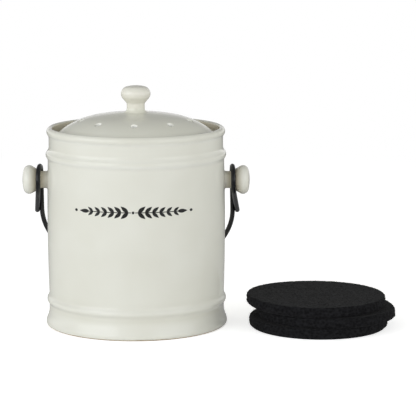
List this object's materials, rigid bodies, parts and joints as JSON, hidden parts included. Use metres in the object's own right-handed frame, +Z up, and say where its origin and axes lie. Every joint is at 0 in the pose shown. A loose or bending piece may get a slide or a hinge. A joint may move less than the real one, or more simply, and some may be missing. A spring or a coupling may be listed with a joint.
{
  "type": "compost bin",
  "caption": "Lidded ceramic compost crock with a domed vented lid, side knobs, a black wire bail handle and round carbon filter pads stacked beside it.",
  "frame": {"origin": "centre of the crock's foot, on the surface that it stands on", "axes": "+X to the right as the front is seen, towards the stack of spare pads; -Y towards the front; +Z up along the axis of the crock"},
  "size_m": [0.3592, 0.1775, 0.2312],
  "materials": {
    "cream_glaze": "satin gloss",
    "black_wire": "satin",
    "carbon_felt": "matte"
  },
  "bodies": {
    "bin": {"crock": "cream_glaze", "left_side_knob": "cream_glaze", "right_side_knob": "cream_glaze"},
    "lid_group": {"lid": "cream_glaze", "lid_knob": "cream_glaze"},
    "fitted_pad": {"fitted_filter": "carbon_felt"},
    "bail": {"bail_handle": "black_wire"},
    "bottom_pad": {"spare_filter_bottom": "carbon_felt"},
    "middle_pad": {"spare_filter_middle": "carbon_felt"},
    "top_pad": {"spare_filter_top": "carbon_felt"}
  },
  "joints": [
    {"name": "lid_lift", "type": "slide", "parent": "bin", "child": "lid_group", "axis": [0, 0, 1], "range_m": [0, 0.12]},
    {"name": "filter_pull", "type": "slide", "parent": "lid_group", "child": "fitted_pad", "axis": [0, 0, -1], "range_m": [0, 0.04]},
    {"name": "bail_swing", "type": "hinge", "parent": "bin", "child": "bail", "pos_m": [0, 0, 0.14], "axis": [1, 0, 0], "range_deg": [0, 282]},
    {"name": "bottom_pad_lift", "type": "slide", "parent": "bin", "child": "bottom_pad", "axis": [0, 0, 1], "range_m": [0, 0.03]},
    {"name": "middle_pad_lift", "type": "slide", "parent": "bottom_pad", "child": "middle_pad", "axis": [0, 0, 1], "range_m": [0, 0.03]},
    {"name": "top_pad_lift", "type": "slide", "parent": "middle_pad", "child": "top_pad", "axis": [0, 0, 1], "range_m": [0, 0.03]}
  ]
}
